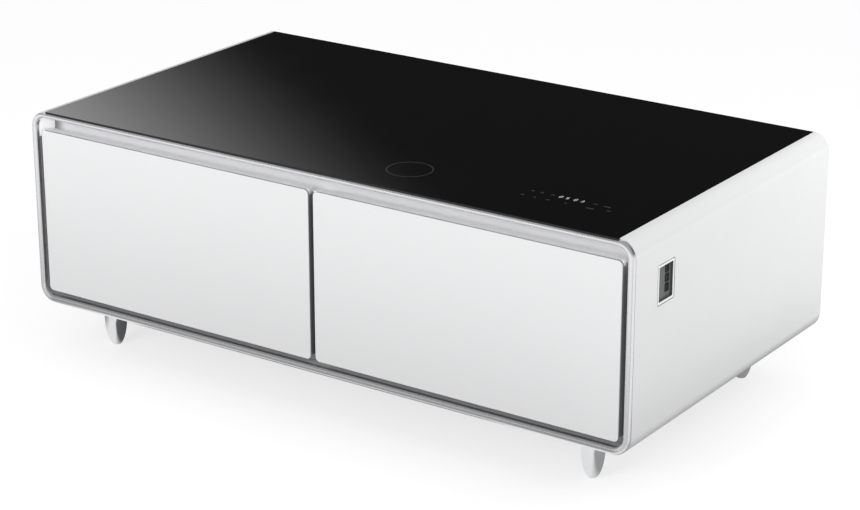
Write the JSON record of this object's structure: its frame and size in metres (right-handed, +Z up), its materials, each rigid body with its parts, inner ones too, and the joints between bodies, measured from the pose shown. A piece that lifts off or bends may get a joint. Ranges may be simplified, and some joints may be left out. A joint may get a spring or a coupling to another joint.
{
  "type": "refrigerator coffee table",
  "caption": "Low white table with a black glass top on tapered feet; its wide glass-fronted drawers are cooled and slide out under a finger channel",
  "frame": {"origin": "on the floor under the middle of the table", "axes": "+X to the right along the long side, +Y from the front to the back, +Z up"},
  "size_m": [1.3, 0.704, 0.47],
  "materials": {
    "shell_enamel": "satin white enamel",
    "top_glass": "polished, painted black underneath",
    "drawer_glass": "polished, painted white behind",
    "satin_aluminium": "satin anodised",
    "white_plastic": "moulded, light gloss",
    "grey_plastic": "matt moulded",
    "dark_plastic": "matt moulded",
    "seal_rubber": "soft, matt",
    "mount_rubber": "matt",
    "zinc_steel": "zinc plated",
    "black_steel": "black enamel",
    "foot_chrome": "polished",
    "copper": "drawn copper tube",
    "insulation_foam": "foamed in place",
    "circuit_board": "lacquered"
  },
  "bodies": {
    "cabinet": {"outer_shell": "shell_enamel", "glass_top": "top_glass", "front_trim": "satin_aluminium", "finger_channel": "satin_aluminium", "channel_end_cap_left": "white_plastic", "channel_end_cap_right": "white_plastic", "front_frame": "grey_plastic", "left_liner": "white_plastic", "right_liner": "white_plastic", "left_evaporator_coil": "copper", "right_evaporator_coil": "copper", "foam_insulation": "insulation_foam", "foot_front_left": "foot_chrome", "foot_front_right": "foot_chrome", "foot_rear_left": "foot_chrome", "foot_rear_right": "foot_chrome", "front_foot_rail": "zinc_steel", "socket_bezel": "white_plastic", "socket_module": "dark_plastic", "display_module": "dark_plastic", "wireless_charger": "dark_plastic", "bulkhead_panel": "zinc_steel", "rear_cover": "black_steel", "base_pan": "zinc_steel", "compressor_mount": "mount_rubber", "compressor": "black_steel", "terminal_cover": "grey_plastic", "fan_frame": "dark_plastic", "condenser": "black_steel", "filter_drier": "copper", "suction_pipe": "copper", "capillary_tube": "copper", "control_box": "grey_plastic", "control_board": "circuit_board", "power_inlet": "dark_plastic", "left_drawer_fixed_runner_left": "zinc_steel", "left_drawer_fixed_runner_right": "zinc_steel", "right_drawer_fixed_runner_left": "zinc_steel", "right_drawer_fixed_runner_right": "zinc_steel"},
    "left_drawer": {"left_drawer_glass": "drawer_glass", "left_drawer_handle_rail": "satin_aluminium", "left_drawer_end_cap_left": "white_plastic", "left_drawer_end_cap_right": "white_plastic", "left_drawer_panel": "grey_plastic", "left_drawer_gasket": "seal_rubber", "left_drawer_bin": "white_plastic", "left_drawer_carriage": "zinc_steel"},
    "left_middle_runners": {"left_drawer_middle_runner_left": "zinc_steel", "left_drawer_middle_runner_right": "zinc_steel"},
    "right_drawer": {"right_drawer_glass": "drawer_glass", "right_drawer_handle_rail": "satin_aluminium", "right_drawer_end_cap_left": "white_plastic", "right_drawer_end_cap_right": "white_plastic", "right_drawer_panel": "grey_plastic", "right_drawer_gasket": "seal_rubber", "right_drawer_bin": "white_plastic", "right_drawer_carriage": "zinc_steel"},
    "right_middle_runners": {"right_drawer_middle_runner_left": "zinc_steel", "right_drawer_middle_runner_right": "zinc_steel"},
    "fan_rotor": {"fan_rotor": "dark_plastic"}
  },
  "joints": [
    {"name": "left_drawer_slide", "type": "slide", "parent": "cabinet", "child": "left_drawer", "axis": [0, -1, 0], "range_m": [0, 0.4]},
    {"name": "left_runner_slide", "type": "slide", "parent": "cabinet", "child": "left_middle_runners", "axis": [0, -1, 0], "range_m": [0, 0.2]},
    {"name": "right_drawer_slide", "type": "slide", "parent": "cabinet", "child": "right_drawer", "axis": [0, -1, 0], "range_m": [0, 0.4]},
    {"name": "right_runner_slide", "type": "slide", "parent": "cabinet", "child": "right_middle_runners", "axis": [0, -1, 0], "range_m": [0, 0.2]},
    {"name": "fan_spin", "type": "hinge", "parent": "cabinet", "child": "fan_rotor", "pos_m": [-0.205, 0.2537, 0.1563], "axis": [1, 0, 0], "continuous": true}
  ],
  "couplings": [
    {"joint": "left_runner_slide", "follows": "left_drawer_slide", "ratio": 0.5},
    {"joint": "right_runner_slide", "follows": "right_drawer_slide", "ratio": 0.5}
  ]
}
